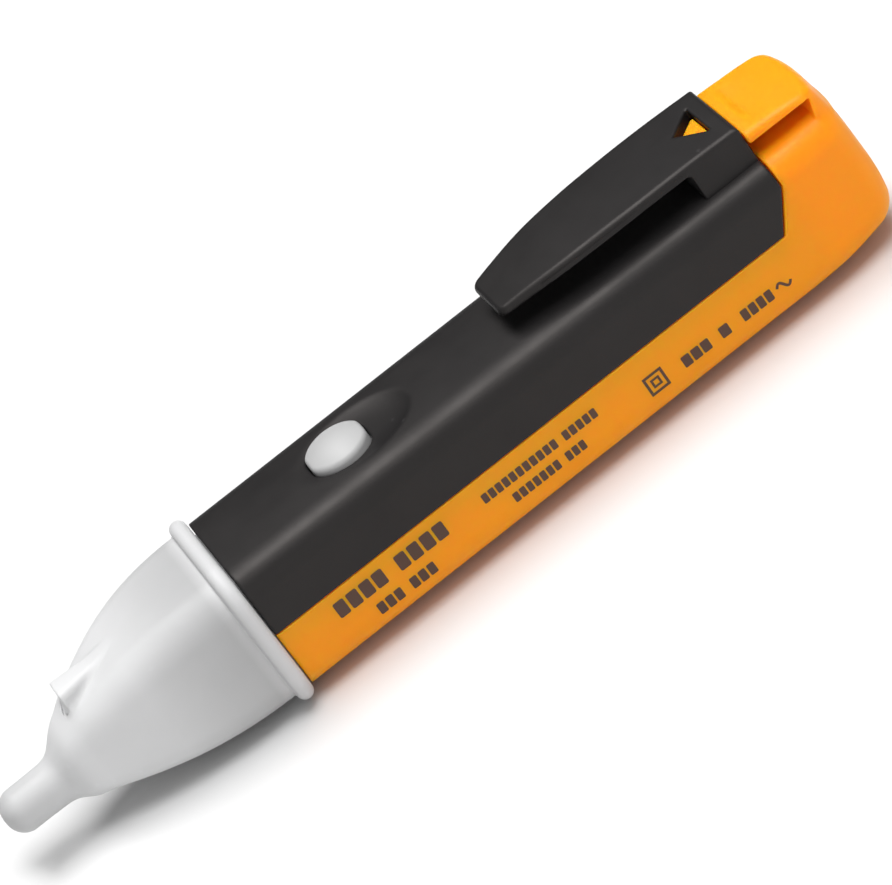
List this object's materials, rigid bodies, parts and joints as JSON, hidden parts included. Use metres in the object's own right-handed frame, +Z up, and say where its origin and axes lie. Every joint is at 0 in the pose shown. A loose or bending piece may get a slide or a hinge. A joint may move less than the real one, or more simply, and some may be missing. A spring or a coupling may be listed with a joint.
{
  "type": "non contact voltage tester",
  "caption": "Pen-shaped non contact voltage tester with translucent sensing nose and prong, push button, pocket clip and slide-off battery cover.",
  "frame": {"origin": "centre of the bounding box in plan, at the lowest point of the nose bead", "axes": "+X along the pen from the nose prong to the tail, +Z up through the button and the pocket clip, +Y across the pen"},
  "size_m": [0.155, 0.0276, 0.0304],
  "materials": {
    "nose_plastic": "frosted translucent white",
    "black_plastic": "fine satin texture",
    "orange_plastic": "satin",
    "button_plastic": "satin",
    "frame_plastic": "satin",
    "cell_jacket": "printed foil jacket with bare steel ends",
    "spring_steel": "nickel plated",
    "board_green": "solder mask",
    "chip_black": "moulded",
    "plunger_plastic": "moulded",
    "chip_ceramic": "ceramic",
    "capacitor_can": "satin",
    "led_red": "clear tinted epoxy",
    "tinned_wire": "tinned",
    "brass_sheet": "rolled",
    "piezo_ceramic": "silvered ceramic",
    "wire_white": "PVC insulation",
    "wire_red": "PVC insulation",
    "wire_black": "PVC insulation",
    "screw_steel": "zinc plated"
  },
  "bodies": {
    "case": {"nose_shell": "nose_plastic", "upper_shell": "black_plastic", "chassis": "frame_plastic", "battery_left": "cell_jacket", "battery_right": "cell_jacket", "contact_spring": "spring_steel", "contact_plate": "spring_steel", "contact_bridge": "spring_steel", "circuit_board": "board_green", "switch_body": "chip_black", "sense_chip": "chip_black", "chip_resistors": "chip_black", "chip_capacitors": "chip_ceramic", "storage_capacitor": "capacitor_can", "transistor": "chip_black", "alarm_led": "led_red", "led_leads": "tinned_wire", "sensor_strip": "brass_sheet", "sensor_wire": "wire_white", "buzzer_disc": "brass_sheet", "buzzer_ceramic": "piezo_ceramic", "buzzer_wire_red": "wire_red", "buzzer_wire_black": "wire_black", "battery_wire_red": "wire_red", "battery_wire_black": "wire_black", "case_screws": "screw_steel"},
    "cover": {"battery_cover": "orange_plastic"},
    "tongue": {"latch_tongue": "orange_plastic"},
    "clip": {"pocket_clip": "black_plastic"},
    "button": {"power_button": "button_plastic"},
    "plunger": {"switch_plunger": "plunger_plastic"}
  },
  "joints": [
    {"name": "cover_slide", "type": "slide", "parent": "case", "child": "cover", "axis": [1, 0, 0], "range_m": [0, 0.096]},
    {"name": "tongue_press", "type": "hinge", "parent": "cover", "child": "tongue", "pos_m": [0.0739, 0, 0.02705], "axis": [0, 1, 0], "range_deg": [-5, 0], "stiffness_Nm_per_rad": 0.7},
    {"name": "clip_flex", "type": "hinge", "parent": "case", "child": "clip", "pos_m": [0.053, 0, 0.02945], "axis": [0, 1, 0], "range_deg": [0, 6], "stiffness_Nm_per_rad": 3.5},
    {"name": "button_press", "type": "slide", "parent": "case", "child": "button", "axis": [0, 0, -1], "range_m": [0, 0.0007], "stiffness_N_per_m": 2000},
    {"name": "plunger_press", "type": "slide", "parent": "case", "child": "plunger", "axis": [0, 0, -1], "range_m": [0, 0.0007]}
  ],
  "couplings": [
    {"joint": "plunger_press", "follows": "button_press", "ratio": 1}
  ]
}
